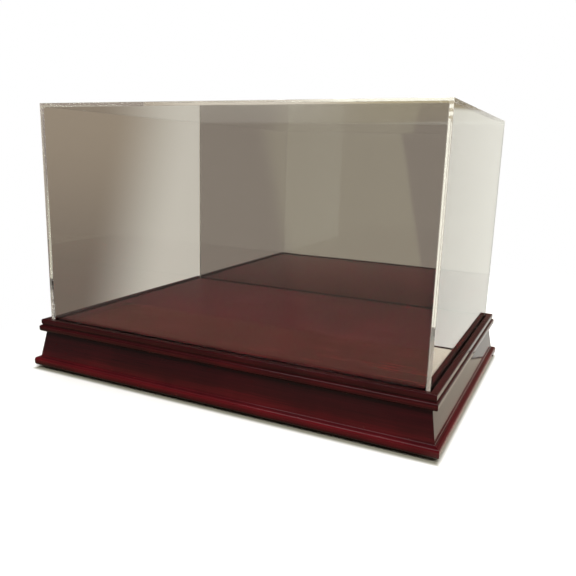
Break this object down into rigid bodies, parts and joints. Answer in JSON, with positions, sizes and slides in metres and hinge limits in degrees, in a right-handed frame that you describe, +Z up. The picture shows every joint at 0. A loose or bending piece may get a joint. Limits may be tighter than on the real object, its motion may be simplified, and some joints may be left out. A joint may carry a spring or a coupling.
{
  "type": "football display case",
  "caption": "Clear acrylic cover with a mirrored back that lifts straight off a moulded cherry-stained wooden base, made to show a full-size football.",
  "frame": {"origin": "centre of the footprint, on the surface that the case stands on", "axes": "+X to the viewer's right along the width, +Y towards the mirrored back, +Z up and along the way the cover lifts off"},
  "size_m": [0.3628, 0.2548, 0.2295],
  "materials": {
    "clear_acrylic": "polished clear sheet",
    "mirror_film": "aluminised mirror film",
    "backcoat_paint": "matt grey protective coat",
    "cherry_lacquer": "dark cherry stain under gloss lacquer",
    "cherry_veneer": "dark cherry stain under gloss lacquer",
    "raw_wood": "sawn, unfinished",
    "plated_steel": "zinc plated",
    "felt": "pressed felt"
  },
  "bodies": {
    "base": {"front_rail": "cherry_lacquer", "back_rail": "cherry_lacquer", "left_rail": "cherry_lacquer", "right_rail": "cherry_lacquer", "display_floor": "cherry_veneer", "corner_block_front_left": "raw_wood", "corner_block_front_right": "raw_wood", "corner_block_back_left": "raw_wood", "corner_block_back_right": "raw_wood", "floor_screws": "plated_steel", "mitre_wedges": "plated_steel", "foot_front_left": "felt", "foot_front_right": "felt", "foot_back_left": "felt", "foot_back_right": "felt"},
    "cover": {"front_panel": "clear_acrylic", "left_panel": "clear_acrylic", "right_panel": "clear_acrylic", "top_panel": "clear_acrylic", "mirror_panel": "clear_acrylic", "mirror_film": "mirror_film", "mirror_backcoat": "backcoat_paint"}
  },
  "joints": [
    {"name": "cover_lift", "type": "slide", "parent": "base", "child": "cover", "axis": [0, 0, 1], "range_m": [0, 0.25]}
  ]
}
